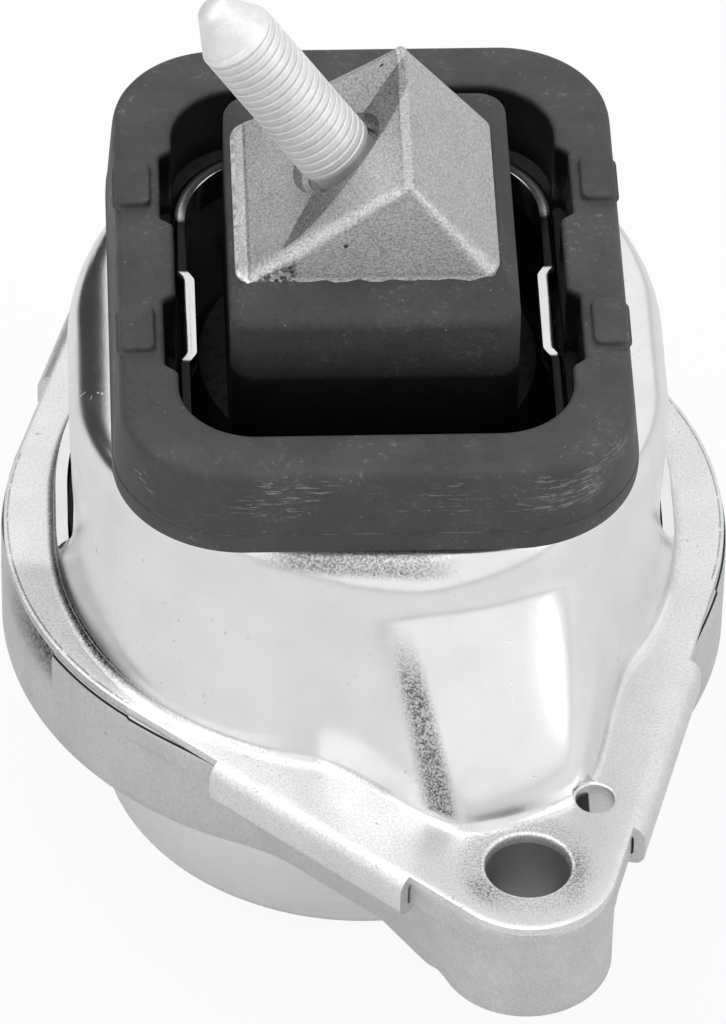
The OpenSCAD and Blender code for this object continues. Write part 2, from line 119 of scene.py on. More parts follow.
class Wire:
    """A socket in a finish's node tree. Python's operators on it add Math nodes."""

    def __init__(self, finish, socket):
        self.finish = finish
        self.socket = socket

    def math(self, operation, *values):
        return self.finish.node("ShaderNodeMath", {"operation": operation}, values)

    def __add__(self, other):
        return self.math("ADD", self, other)

    def __radd__(self, other):
        return self.math("ADD", other, self)

    def __sub__(self, other):
        return self.math("SUBTRACT", self, other)

    def __rsub__(self, other):
        return self.math("SUBTRACT", other, self)

    def __mul__(self, other):
        return self.math("MULTIPLY", self, other)

    def __rmul__(self, other):
        return self.math("MULTIPLY", other, self)

    def __truediv__(self, other):
        return self.math("DIVIDE", self, other)

    def __rtruediv__(self, other):
        return self.math("DIVIDE", other, self)

    def __pow__(self, other):
        return self.math("POWER", self, other)

    def __abs__(self):
        return self.math("ABSOLUTE", self)

    def larger(self, other):
        return self.math("MAXIMUM", self, other)

    def smaller(self, other):
        return self.math("MINIMUM", self, other)

    def rise(self, low, high):
        """Smooth step from 0 at low to 1 at high."""
        settings = {"interpolation_type": "SMOOTHSTEP"}
        values = {"Value": self, "From Min": low, "From Max": high}
        return self.finish.node("ShaderNodeMapRange", settings, values)

    def within(self, low, high, soft):
        """One between low and high, falling to 0 over soft on either side."""
        return self.rise(low - soft, low) * (1.0 - self.rise(high, high + soft))


class Finish:
    """One procedural material on Object coordinates, in metres."""

    def __init__(self, name, **constants):
        self.material = bpy.data.materials.new(name)
        self.material.use_nodes = True
        self.tree = self.material.node_tree
        self.shader = self.tree.nodes["Principled BSDF"]
        for socket, value in constants.items():
            self.shader.inputs[socket.replace("_", " ")].default_value = value
        self.place = self.node("ShaderNodeTexCoord", {}, {}, "Object")
        self.x, self.y, self.z = [
            self.node("ShaderNodeSeparateXYZ", {}, [self.place], axis) for axis in "XYZ"
        ]

    def node(self, kind, settings, values, output=0):
        """Adds a node: its settings first, then numbers or links for its sockets."""
        node = self.tree.nodes.new(kind)
        for key, value in settings.items():
            setattr(node, key, value)
        pairs = values.items() if isinstance(values, dict) else enumerate(values)
        for key, value in pairs:
            if isinstance(value, Wire):
                self.tree.links.new(value.socket, node.inputs[key])
            else:
                node.inputs[key].default_value = value
        return Wire(self, node.outputs[output])

    def noise(self, size, detail=2.0, rough=0.5, stretch=None):
        """Noise whose blotches are about size metres across, longer along an axis where stretch is small."""
        at = self.place
        if stretch:
            at = self.node("ShaderNodeMapping", {}, {"Vector": at, "Scale": stretch})
        values = {"Vector": at, "Scale": 1.0 / size, "Detail": detail, "Roughness": rough}
        return self.node("ShaderNodeTexNoise", {}, values)

    def cells(self, size, feature="F1", at=None):
        """Distance pattern of scattered cells, about size metres apart."""
        values = {"Vector": at or self.place, "Scale": 1.0 / size}
        return self.node("ShaderNodeTexVoronoi", {"feature": feature}, values, "Distance")

    def scratches(self, size, turn, spread, keep):
        """Long thin lines: the edges of turned and stretched cells, broken up by noise above keep."""
        at = self.node("ShaderNodeMapping", {}, {"Vector": self.place, "Rotation": turn, "Scale": spread})
        edge = self.cells(size, "DISTANCE_TO_EDGE", at)
        return (1.0 - edge.rise(0.0, 0.035)) * self.noise(size * 2.2, 2.0).rise(keep, keep + 0.06)

    def shade(self, factor, dark, light):
        """Colour between two greys by a factor, held from 0 to 1."""
        values = {0: factor, 6: (dark, dark, dark, 1), 7: (light, light, light, 1)}
        return self.node("ShaderNodeMix", {"data_type": "RGBA"}, values, 2)

    def bump(self, height, depth):
        """Normal from a height wire, depth metres from 0 to 1."""
        return self.node("ShaderNodeBump", {}, {"Height": height, "Strength": 1.0, "Distance": depth})

    def wear(self, **wires):
        """Links wires to the shader's varying sockets."""
        for socket, wire in wires.items():
            self.tree.links.new(wire.socket, self.shader.inputs[socket.replace("_", " ")])
        return self.material


# Skins


def ease(t):
    """Smooth step: 3 t squared less 2 t cubed, held at 0 and 1."""
    t = np.clip(t, 0, 1)
    return t * t * (3 - 2 * t)


def union(first, second, soft):
    """Larger of two radii, rounded where they differ by less than soft.

    It is the maximum plus a quarter of soft times the square of how near they are.
    """
    near = np.clip(1 - np.abs(first - second) / soft, 0, 1)
    return np.maximum(first, second) + near * near * soft / 4


def piece_from(name, points, faces, finish, nodes, crease=32):
    """Object of welded points in millimetres and its faces, riding on the fixed body."""
    mesh = bpy.data.meshes.new(name)
    mesh.from_pydata((np.asarray(points) * MM).tolist(), [], faces)
    work = bmesh.new()
    work.from_mesh(mesh)
    bmesh.ops.remove_doubles(work, verts=work.verts, dist=2e-6)
    for face in work.faces:
        face.smooth = True
    work.to_mesh(mesh)
    work.free()
    mesh.set_sharp_from_angle(angle=math.radians(crease))
    mesh.materials.append(finish)
    piece = bpy.data.objects.new(name, mesh)
    bpy.context.collection.objects.link(piece)
    if nodes:
        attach(piece, "root")
        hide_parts(*nodes)
    return piece


def ring_faces(rows, columns, loop=False, ends=False, skip=()):
    """Quads between neighbouring rings, apart from those to skip.

    A loop joins the last ring to the first, and ends close both rings with flat faces.
    """
    j, i = np.meshgrid(np.arange(rows if loop else rows - 1), np.arange(columns), indexing="ij")
    k, n = (j + 1) % rows, (i + 1) % columns
    quads = np.stack([j * columns + i, j * columns + n, k * columns + n, k * columns + i], axis=-1)
    keep = np.ones(quads.shape[:2], bool)
    for band, column in skip:
        keep[band, column] = False
    faces = quads[keep].tolist()
    if ends:
        faces.append(list(range(columns - 1, -1, -1)))
        faces.append(list(range((rows - 1) * columns, rows * columns)))
    return faces


def skin(name, rings, finish, nodes, loop=False, ends=False, crease=32):
    """Piece over an array of rings, rows by columns by three."""
    rings = np.asarray(rings)
    faces = ring_faces(rings.shape[0], rings.shape[1], loop, ends)
    return piece_from(name, rings.reshape(-1, 3), faces, finish, nodes, crease)


def revolved(profile, columns=96):
    """Rings of a profile of radius and height turned about Z."""
    turn = np.arange(columns) * 2 * np.pi / columns
    r, z = np.asarray(profile, float).T
    x, y = np.outer(r, np.cos(turn)), np.outer(r, np.sin(turn))
    return np.stack([x, y, np.outer(z, np.ones(columns))], axis=-1)


def arc(x, y, r, start, end, steps=6):
    """Points of an arc between two angles in degrees."""
    q = np.radians(np.linspace(start, end, steps + 1))
    return np.stack([x + r * np.cos(q), y + r * np.sin(q)], axis=-1).tolist()


def carve(piece, cutters):
    """Takes the cutters' volume out of a piece and deletes them."""
    for cutter in cutters:
        change = piece.modifiers.new("cut", "BOOLEAN")
        change.operation = "DIFFERENCE"
        change.solver = "EXACT"
        change.object = cutter
    graph = bpy.context.evaluated_depsgraph_get()
    mesh = bpy.data.meshes.new_from_object(piece.evaluated_get(graph))
    piece.modifiers.clear()
    piece.data = mesh
    mesh.polygons.foreach_set("use_smooth", np.ones(len(mesh.polygons), bool))
    mesh.set_sharp_from_angle(angle=math.radians(32))
    for cutter in cutters:
        bpy.data.objects.remove(cutter)


def outline(half_x, half_y, corner, bulge=0.0, tall=0.0):
    """Closed curve of a rounded rectangle, its corners longer along Y by tall, drawn towards both ears.

    A corner point is the corner's centre plus the radius times cosine and sine. The draw is along the ear
    line, by bulge times a smooth step of the distance aside from it.
    """
    q = np.tile(np.linspace(0, 90, 40), 4) + np.repeat([0, 90, 180, 270], 40)
    side_x, side_y = np.repeat([1, -1, -1, 1], 40), np.repeat([1, 1, -1, -1], 40)
    x = side_x * (half_x - corner) + corner * np.cos(np.radians(q))
    y = side_y * (half_y - corner - tall) + (corner + tall) * np.sin(np.radians(q))
    x, y = np.append(x, x[0]), np.append(y, y[0])
    run = np.append(0, np.cumsum(np.hypot(np.diff(x), np.diff(y))))
    even = np.linspace(0, run[-1], 2400, endpoint=False)
    x, y = np.interp(even, run, x), np.interp(even, run, y)
    along = x * math.cos(EAR_LINE) + y * math.sin(EAR_LINE)
    aside = y * math.cos(EAR_LINE) - x * math.sin(EAR_LINE)
    side = np.sign(along)
    grow = side * bulge * ease((27 - np.abs(aside - 2.5 * side)) / 19)
    return x + grow * math.cos(EAR_LINE), y + grow * math.sin(EAR_LINE)


def fan_ring(curve, z, fan):
    """Ring of a closed curve at height z: its radius is read off at each direction of the fan."""
    x, y = curve
    turn = np.arctan2(y, x)
    order = np.argsort(turn)
    radius = np.interp(fan, turn[order], np.hypot(x, y)[order], period=2 * np.pi)
    return np.stack([radius * np.cos(fan), radius * np.sin(fan), np.full(len(fan), float(z))], axis=-1)


# Pressed housing


def wall_bulge(z):
    return BULGE * float(ease(0.97 * (SEAT_Z - z) / (SEAT_Z - FLANGE_Z)))


def wall_ring(z, inset, fan):
    """The body's wall at a height: an oval at the foot that turns squarer towards the shoulder."""
    t = (z - FLANGE_Z) / (SHOULDER_Z - FLANGE_Z)
    curve = outline(
        FOOT_A + t * (SHOULDER_A - FOOT_A) - inset,
        FOOT_B + t * (SHOULDER_B - FOOT_B) - inset,
        FOOT_CORNER + t * (SHOULDER_CORNER - FOOT_CORNER) - inset,
        wall_bulge(z),
        FOOT_TALL * (1 - t),
    )
    ring = fan_ring(curve, z, fan)
    return press_in(ring, z)


def press_in(ring, z):
    """Moves the wall above each lanced slot in towards the axis, most near the slot's front end.

    The pressed patch grows longer with height as it fades, and past its ends it fades by a smooth step.
    """
    rise = max(z - SLOT_Z - SLOT_GAP, 0)
    past = (np.abs(ring[:, 1] - SLOT_Y) - SLOT_LENGTH / 2 + 2.6 - 0.9 * rise) / 6
    deep = np.interp(ring[:, 1] - SLOT_Y, [-15, -9, 14], [0.8, 1, 0.7])
    fade = np.interp(rise, [0, 8, 21, 30], [1, 0.9, 0.3, 0])
    depth = SLOT_DENT * fade * ease((z - SLOT_Z - 0.05) / SLOT_GAP)
    push = np.where(np.abs(ring[:, 0]) > 30, depth * ease(1 - past) * deep, 0)
    ring[:, 0] -= np.sign(ring[:, 0]) * push
    return ring


def shoulder_ring(q, inset, fan):
    """The shoulder at angle q from 0, where it leaves the wall, to 90 degrees, where it meets the seat.

    Its sizes turn from the wall's to the seat's with 1 less cosine q, its height with sine q.
    """
    k = 1 - math.cos(math.radians(q))
    mix = lambda wall, seat: wall - inset + k * (seat - wall + inset)
    half_x, half_y = mix(SHOULDER_A, SEAT_A), mix(SHOULDER_B, SEAT_B)
    corner = mix(SHOULDER_CORNER, SEAT_CORNER)
    curve = outline(half_x, half_y, corner, wall_bulge(SHOULDER_Z) * (1 - k))
    z = SHOULDER_Z + (SEAT_Z - inset - SHOULDER_Z) * math.sin(math.radians(q))
    return press_in(fan_ring(curve, z, fan), z)


def collar_ring(out, z, fan):
    """The collar's rounded rectangle, out past its outer face, its two stop tabs leaning in with height."""
    ring = fan_ring(outline(COLLAR_A + out, COLLAR_B + out, COLLAR_CORNER + out), z, fan)
    lean = 1.15 * ease((10.9 - np.abs(ring[:, 1])) / 2.8) * ease((z - SEAT_Z + 1.5) / 2.5)
    ring[:, 0] -= np.sign(ring[:, 0]) * np.where(np.abs(ring[:, 0]) > 20, lean, 0)
    return ring


def edge_frame(fan):
    """Point on the flange's edge, outward normal and run along the straight side, for each direction.

    In the nearest ear's frame the edge is the disc, the line that touches disc and ear, or the ear's arc.
    """
    off = fan - EAR_LINE
    back, flip = np.sign(np.cos(off)), np.sign(np.sin(off))
    back, flip = np.where(back == 0, 1, back), np.where(flip == 0, 1, flip)
    a = np.arccos(np.clip(np.abs(np.cos(off)), 0, 1))
    disc, ear = a >= TANGENT, a <= EAR_TANGENT
    reach = np.where(disc, FLANGE_R, FLANGE_R / np.cos(np.where(disc, 0, a - TANGENT)))
    inside = np.clip(EAR_END_R**2 - (EAR_REACH * np.sin(a)) ** 2, 0, None)
    reach = np.where(ear, EAR_REACH * np.cos(a) + np.sqrt(inside), reach)
    edge = np.stack([reach * np.cos(a), reach * np.sin(a)], axis=-1)
    side = np.broadcast_to([math.cos(TANGENT), math.sin(TANGENT)], edge.shape)
    normal = np.where(ear[:, None], (edge - [EAR_REACH, 0]) / EAR_END_R, side)
    normal = np.where(disc[:, None], edge / FLANGE_R, normal)
    run = edge[:, 0] * math.sin(TANGENT) - edge[:, 1] * math.cos(TANGENT)
    run = np.where(disc, -1, np.where(ear, 99, run))
    axis = np.array([math.cos(EAR_LINE), math.sin(EAR_LINE)])
    cross = np.array([-axis[1], axis[0]])
    turned = lambda v: (back * v[:, 0])[:, None] * axis + (flip * v[:, 1])[:, None] * cross
    return turned(edge), turned(normal), run


def edge_profiles():
    """Two profiles of the flange's edge, of distance past the edge and height over the flange's face.

    Both have as many points. The flat one has a rolled upper corner and a sheared face. The folded one runs
    over the bend, down the tab, round its hooked end and back up the tab's inner face.
    """
    bend, inner = TAB_PROUD - FOLD_R, TAB_PROUD - SHEET_T
    start = [[-3.6, 0], [-2.2, 0]] + arc(bend, -FOLD_R, FOLD_R, 90, 72, 3)
    outer = arc(bend, -FOLD_R, FOLD_R, 60, 0, 5) + [[TAB_PROUD, -4.4], [TAB_PROUD, 1.9 - TAB_DEPTH]]
    hook = [
        [TAB_PROUD - 0.15, 1.2 - TAB_DEPTH],
        [TAB_PROUD - 0.6, 0.5 - TAB_DEPTH],
        [TAB_PROUD - 1.1, 0.12 - TAB_DEPTH],
        [inner, -TAB_DEPTH],
        [inner - 0.6, -TAB_DEPTH],
        [inner - 1.1, 0.14 - TAB_DEPTH],
        [inner - 1.4, 0.45 - TAB_DEPTH],
        [inner - 1.4, 0.8 - TAB_DEPTH],
        [inner - 0.7, 1.5 - TAB_DEPTH],
        [inner, 2.1 - TAB_DEPTH],
        [inner, -4.2],
    ]
    under = arc(bend, -FOLD_R, FOLD_R - SHEET_T, 0, 90, 4) + [[-2.2, -SHEET_T], [-3.6, -SHEET_T]]
    folded = np.array(start + outer + hook + under)
    down = len(folded) - len(start) - 6
    face = np.stack([np.zeros(down), np.linspace(-0.3, -1.45, down)], axis=-1).tolist()
    flat = start + face + [[-0.05, -1.62], [-0.14, -1.74], [-0.32, -SHEET_T]]
    flat = np.array(flat + [[bend, -SHEET_T], [-2.2, -SHEET_T], [-3.6, -SHEET_T]])
    return flat, folded


def housing_fan():
    """Directions of the housing's columns, doubled at the ends of folded tabs, and which are folded."""
    plain = np.arange(560) * 2 * np.pi / 560 - np.pi + 0.0011
    ends = []
    for run in (TAB_START, TAB_END):
        x = FLANGE_R * math.cos(TANGENT) + run * math.sin(TANGENT)
        y = FLANGE_R * math.sin(TANGENT) - run * math.cos(TANGENT)
        ends += [math.atan2(y, x), -math.atan2(y, x), math.pi - math.atan2(y, x), math.atan2(y, x) - math.pi]
    ends = (np.array(ends) + EAR_LINE + np.pi) % (2 * np.pi) - np.pi
    nudge = np.concatenate([plain, ends - 1e-7, ends + 1e-7])
    fan = np.concatenate([plain, ends, ends])
    order = np.argsort(nudge)
    run = edge_frame(nudge[order])[2]
    folded = (run > TAB_START) & (run < TAB_END)
    return fan[order], folded


def edge_rings(fan, folded):
    """Rings round the flange's edge, from its underside over the edge or the folded tab to its upper face."""
    edge, normal, _ = edge_frame(fan)
    flat, tab = edge_profiles()
    profile = np.where(folded[None, :, None], tab[:, None, :], flat[:, None, :])[::-1]
    flatten = edge[None] + profile[..., :1] * normal[None]
    return np.concatenate([flatten, FLANGE_Z + profile[..., 1:]], axis=-1)


def hole_cutter(along, aside, ear, radius, roll):
    """Cutter for a pierced hole: a revolved profile whose upper rim rolls over, set in an ear's frame."""
    rim = [[3, 2], [3, 0.05], [1.5, -0.03], [0.6, -0.16], [0, -0.45]]
    profile = [[0.001, FLANGE_Z + 2]] + [[radius + out * roll, FLANGE_Z + up] for out, up in rim]
    profile += [[radius, BRACKET_TOP - 3], [0.001, BRACKET_TOP - 3]]
    rings = revolved(profile[::-1], 72)
    turn = EAR_LINE + (0 if ear > 0 else math.pi)
    rings[..., 0] += along * math.cos(turn) - aside * math.sin(turn)
    rings[..., 1] += along * math.sin(turn) + aside * math.cos(turn)
    return skin("cutter", rings, None, None, ends=True)


def slot_cutter(side):
    """Cutter for a lanced slot: a flat bar with tapered ends through the side wall."""
    y = SLOT_Y + np.array([-1, -0.93, 0.93, 1]) * (SLOT_LENGTH / 2 - 0.6)
    low, high = SLOT_Z - 0.04, SLOT_Z + SLOT_GAP + 0.05
    x = np.array([38.0, 52.0]) * side
    top = np.array([low + 0.35, high, high, low + 0.35])
    rings = [[[x[0], a, low], [x[1], a, low], [x[1], a, b], [x[0], a, b]] for a, b in zip(y, top)]
    rings = np.array(rings)
    if side > 0:
        rings = rings[:, ::-1]
    return skin("cutter", rings, None, None, ends=True)


def make_housing(finish):
    """One closed skin: flange's edge and flat, foot, wall, shoulder, seat, collar, and back down inside."""
    fan, folded = housing_fan()
    band = edge_rings(fan, folded)
    foot = wall_ring(FLANGE_Z, -FILLET_R, fan)
    rows = list(band)
    rows += [band[-1] + t * (foot - band[-1]) for t in np.linspace(0, 1, 9)[1:-1]]
    for q in np.arange(0, 91, 15):
        bent = math.radians(q)
        z = FLANGE_Z + FILLET_R * (1 - math.cos(bent))
        rows.append(wall_ring(z, FILLET_R * (math.sin(bent) - 1), fan))
    slot_levels = [52.2, 52.9, 53.05, 53.4, 53.8, 54.1, 54.3]
    wall_levels = [55, 56, 57.5, 59, 61, 63, 65.5, 68, 70.5, 73, 75.5, 78]
    rows += [wall_ring(z, 0, fan) for z in slot_levels + wall_levels]
    rows += [shoulder_ring(q, 0, fan) for q in np.arange(0, 91, 7.5)]
    collar = [(3.6, 88.5), (1.5, 88.5), (0.9, 88.62), (0.35, 89.05), (0.05, 89.7), (0, 90.4), (0, 91.6)]
    collar += [(0, 92.1), (-0.1, 92.4), (-0.35, 92.5), (-0.8, 92.44), (-1.3, 92.4), (-1.7, 92.42)]
    collar += [(-1.8, 92.3), (-1.8, 91.2), (-1.8, 89.6), (-1.8, 88.2), (-1.8, 86.7)]
    rows += [collar_ring(out, z, fan) for out, z in collar]
    rows += [shoulder_ring(q, SHEET_T, fan) for q in np.arange(90, -1, -15)]
    inside = [76, 71, 66, 61, 57.5, 55, 54.3, 53.9, 53.5, 53.05, 52.8]
    rows += [wall_ring(z, SHEET_T, fan) for z in inside]
    rows.append(wall_ring(FLANGE_Z + FILLET_R, SHEET_T, fan))
    inner = wall_ring(BRACKET_TOP, SHEET_T - 0.6, fan)
    rows.append(inner)
    rows += [inner + t * (band[0] - inner) for t in np.linspace(0, 1, 6)[1:-1]]
    rings = np.array(rows)
    columns = len(fan)
    points = len(band)
    doubled = np.flatnonzero(np.isclose(fan, np.roll(fan, -1), atol=1e-9))
    faces = ring_faces(len(rows), columns, True, False, [(slice(0, points - 1), c) for c in doubled])
    first, last = 2, points - 6
    for c in doubled:
        n = (c + 1) % columns
        up = [j * columns + n for j in range(first, last + 1)]
        down = [j * columns + c for j in range(last - 1, first, -1)]
        faces.append(up + down)
    flat = rings.reshape(-1, 3)
    housing = piece_from("pressed_housing", flat, faces, finish, ["upper_housing"])
    cutters = [slot_cutter(1), slot_cutter(-1)]
    for ear in (1, -1):
        cutters.append(hole_cutter(EAR_REACH, 0, ear, EAR_HOLE_R, 0.3))
        cutters.append(hole_cutter(PEG_ALONG, PEG_ASIDE, ear, PEG_HOLE_R, 0.22))
    carve(housing, cutters)
    return housing


# Rubber stop frame and spring


def outer_ring(out, z, fan):
    """Ring of the stop frame's outer wall: shorter along Y and rounder towards its foot, and 0.3 mm back."""
    short = float(np.interp(z, [88.5, 89.5, 92.5, 102.3], [1.3, 1.4, 1.1, 0.2]))
    corner = float(np.interp(z, [88.5, 92.5, 102.3, 104.3], [19.6, 19.0, 17.2, 16.0]))
    x, y = outline(BUFFER_A + out, BUFFER_B + out - short, corner)
    return fan_ring((x, y + 0.3), z, fan)


def inner_ring(out, z, fan, recess=False, corner=11.5):
    """Ring of the stop frame's inner wall, which may step back beside the nubs.

    The step is a smooth window in the distance from the middle.
    """
    ring = fan_ring(outline(COLLAR_A + 0.35 + out, BUFFER_INNER_B + out, corner + out), z, fan)
    if recess:
        y = np.abs(ring[:, 1])
        step = 1.95 * ease((y - 7.7) / 2.0) * ease((25.7 - y) / 2.2) * (np.abs(ring[:, 0]) > 22)
        ring[:, 0] += np.sign(ring[:, 0]) * step
    return ring


def make_stop_frame(finish):
    """Moulded frame: up its outer wall, over the top and down its inner wall to the seat."""
    fan = np.arange(600) * 2 * np.pi / 600
    outer = [(0.7, 88.55), (1.05, 88.8), (1.15, 89.3), (1.2, 90.2), (1.15, 91.4), (1.1, 92.2), (0.95, 92.36)]
    outer += [(0.96, 92.5), (1.0, 92.62), (0.92, 93.4), (0.72, 95.5), (0.5, 98), (0.28, 100.4), (0.12, 102.0)]
    outer += [(0.0, 102.7), (-0.18, 103.25), (-0.48, 103.72), (-0.9, 104.06), (-1.4, 104.24)]
    outer += [(-2.0, BUFFER_Z)]
    rows = [outer_ring(out, z, fan) for out, z in outer]
    rows.append(outer_ring(-4.2, BUFFER_Z + 0.02, fan))
    over = [(2.6, BUFFER_Z + 0.02), (1.0, BUFFER_Z), (0.5, 104.2), (0.16, 103.95), (0.02, 103.6), (0, 103.1)]
    rows += [inner_ring(out, z, fan, True) for out, z in over]
    rows += [inner_ring(0, z, fan, True) for z in (101, 98.5, 96, 93.5, 91.9)]
    rows += [inner_ring(0, z, fan, False, COLLAR_CORNER) for z in (91.2, 90.6, 90.0)]
    rows += [inner_ring(out, z, fan, False, COLLAR_CORNER) for out, z in ((1.0, 88.9), (1.6, 88.55))]
    return skin("stop_frame", rows, finish, ["stop_buffer"], loop=True, crease=40)


def make_stop_nubs(finish):
    """Four rounded pads on the frame's top, one beside each recess: shrinking rounded rectangles."""
    fan = np.arange(72) * 2 * np.pi / 72
    levels = [(0.5, -0.15), (0.28, 0.03), (0.1, 0.16), (0.02, 0.4), (0, 0.75), (-0.08, 1.0), (-0.25, 1.14)]
    levels += [(-0.5, NUB_RISE)]
    points, faces = [], []
    for x in (-NUB_X, NUB_X):
        for y in (-NUB_Y, NUB_Y):
            curves = [outline(NUB_A + out, NUB_B + out, NUB_CORNER + out) for out, _ in levels]
            rings = [fan_ring(curve, BUFFER_Z + up, fan) for curve, (_, up) in zip(curves, levels)]
            shift = len(points) * 72 * len(levels)
            faces += [[v + shift for v in face] for face in ring_faces(len(levels), 72, False, True)]
            points.append(np.array(rings).reshape(-1, 3) + [x, y, 0])
    points = np.concatenate(points)
    return piece_from("stop_nubs", points, faces, finish, ["stop_buffer"], 50)


def box_ring(left, right, front, back, corner, z, round_steps=8, side_steps=18):
    """Ring of a rounded rectangle, with the same number of points on each corner and side at every size."""
    q = np.radians(np.linspace(0, 90, round_steps + 1) + np.array([[0], [90], [180], [270]]))
    centre_x = np.array([right - corner, left + corner, left + corner, right - corner])[:, None]
    centre_y = np.array([back - corner, back - corner, front + corner, front + corner])[:, None]
    arcs = np.stack([centre_x + corner * np.cos(q), centre_y + corner * np.sin(q)], axis=-1)
    start, end = arcs[:, -1:], np.roll(arcs, -1, axis=0)[:, :1]
    t = (np.arange(1, side_steps + 1) / (side_steps + 1))[None, :, None]
    ring = np.concatenate([arcs, start + t * (end - start)], axis=1).reshape(-1, 2)
    return np.concatenate([ring, np.full((len(ring), 1), float(z))], axis=1)


def make_spring_block(finish):
    """Rubber block round the core: straight walls, a rounded shoulder and a ledge that climbs to the metal.

    Each level sets a rounded rectangle back along X and Y. Sines of X and Y give the ledge its waviness.
    """
    levels = [(1.5, 5.5, 5, 78), (0.5, 2.0, 4.6, 81.5), (0, 0, 4, 84.5), (0, 0, 4, 100), (0, 0, 4, 112.6)]
    levels += [(0.08, 0.08, 4, 113.2), (0.35, 0.35, 3.9, 113.85), (0.8, 0.8, 3.6, 114.3)]
    levels += [(1.4, 1.5, 3.2, 114.6), (1.7, 4.0, 3.2, 114.9), (2.0, 6.4, 3.4, 115.5)]
    levels += [(2.5, 7.7, 3.2, 116.0), (3.3, 8.9, 2.6, 115.9)]
    rings = []
    for x, y, corner, z in levels:
        rings.append(box_ring(x - BLOCK_A, BLOCK_A - x, y - BLOCK_B, BLOCK_B - y, corner, z))
    rings = np.array(rings)
    x, y = rings[-4:, :, 0], rings[-4:, :, 1]
    wave = 0.16 * np.sin(1.3 * x + 2 * np.sin(0.7 * y)) + 0.12 * np.sin(2.1 * y + x)
    rings[-4:, :, 2] += wave * [[0.2], [0.6], [1], [1]]
    return skin("spring_block", rings, finish, ["main_spring"], ends=True, crease=50)


def make_spring_cone(finish):
    """Revolved cone of the spring under the block, out to its bonded ring, and the hollow below it."""
    upper = [[0.001, 86], [12, 85.6], [26, 84], [30, 78.5], [34, 72.5], [38, 65.5], [41, 59], [42.6, 55.2]]
    upper += [[43.4, 54], [44.4, 53.4], [46.3, 53.2], [46.3, 48.2], [51.5, 48.2], [51.5, 45.2], [46.2, 45.2]]
    lower = [[46.2, 53], [44.4, 53], [42.8, 46.5], [42.8, 43.4], [39.5, 43.4], [38, 48], [36, 53]]
    lower += [[31, 58.6], [26, 63], [16, 68.5], [0.001, 70]]
    rings = revolved((upper + lower)[::-1])
    return skin("spring_cone", rings, finish, ["main_spring"], ends=True)


# Core and stud


def lens_frame(x, y):
    """Run along the core's lens from 0 to 1 and distance across it, from arrays or wires in millimetres."""
    x, y = x - LENS_X, y - LENS_Y
    return (x * LENS_COS + y * LENS_SIN) / LENS_LENGTH, x * LENS_SIN - y * LENS_COS


def core_side_step(x, y):
    """How far the core's slanted face stands out: sunk at the stud, proud by the ridge, with a ramp between.

    The ramp is a long lens on a diagonal. Along it t runs from 0 to 1, and its two edges bow out from the
    diagonal by powers of 4 t (1 - t), which tapers the step too.
    """
    t, across = lens_frame(x, y)
    swell = np.clip(4 * t * (1 - t), 1e-6, 1)
    left, right = -LENS_LEFT * swell, LENS_RIGHT * swell**LENS_POWER
    sunk = -0.8 * ease(1 + (across - left) / 16)
    proud = 0.5 * ease((5 - x) / 6)
    ramp = np.clip((across - left) / (right - left), 0, 1)
    return swell**0.5 * (sunk + ramp * (proud - sunk))


def make_core(finish):
    """Wedge on a tapered root: each level is a rectangle whose left side climbs at the stud's lean.

    The points of the slanted face then move along its normal by the side step.
    """
    levels = [(-17.6, 17.6, -17.0, 17.0, 3.0, 111), (-20.9, 18.9, -19.1, 18.5, 3.6, 115.2)]
    levels += [(-20.8, 18.85, -19.2, 18.5, 3.6, 115.5), (-20.2, 18.8, -19.0, 18.4, 3.4, 116.0)]
    for t in np.concatenate([[0.0, 0.01, 0.025], np.linspace(0.045, 0.955, 60), [0.97, 0.985]]):
        z = FACE_LOW_Z + t * (RIDGE_Z - FACE_LOW_Z)
        left = FACE_LOW_X + (z - FACE_LOW_Z) / math.tan(STUD_LEAN)
        right = max(18.8 - t * 13.2, left + 0.8)
        corner = min(3.2 - 2 * t, (right - left) / 2 - 0.02)
        levels.append((left, right, -18.8 + 2.2 * t, 18.3 - 1.8 * t, corner, z))
    rings = np.array([box_ring(*level, 8, 64) for level in levels])
    face = np.interp(np.arange(rings.shape[1]), [73, 82, 145, 154], [0, 1, 1, 0])
    step = core_side_step(rings[4:, :, 0], rings[4:, :, 1]) * face
    rings[4:, :, 0] -= step * math.sin(STUD_LEAN)
    rings[4:, :, 2] += step * math.cos(STUD_LEAN)
    rows, top = list(rings), rings[-1]
    middle = top.mean(axis=0)
    for shrink, rise in ((0.9, 0.09), (0.7, 0.16), (0.35, 0.2)):
        ring = top.copy()
        ring[:, 0] = middle[0] + (top[:, 0] - middle[0]) * shrink
        ring[:, 1] = np.sign(top[:, 1]) * np.maximum(np.abs(top[:, 1]) - 0.5 * (1 - shrink), 0)
        ring[:, 2] += rise
        rows.append(ring)
    core = skin("core_wedge", rows, finish, ["core"], ends=True, crease=24)
    pocket = [[0.001, -3], [6.4, -3], [6.4, -2.4], [7.3, -2.2], [7.75, -1.6], [8.0, -0.2], [8.3, 6]]
    rings = on_stud_axis(revolved(pocket + [[0.001, 6]], 80))
    carve(core, [skin("cutter", rings, None, None, ends=True)])
    return core


def on_stud_axis(rings):
    """Rings about Z turned to the stud's lean and set on the core's slanted face."""
    rings = np.asarray(rings)
    x, z = rings[..., 0], rings[..., 2]
    turned_x = STUD_X + x * math.cos(STUD_LEAN) - z * math.sin(STUD_LEAN)
    turned_z = STUD_FOOT_Z + x * math.sin(STUD_LEAN) + z * math.cos(STUD_LEAN)
    return np.stack([turned_x, rings[..., 1], turned_z], axis=-1)


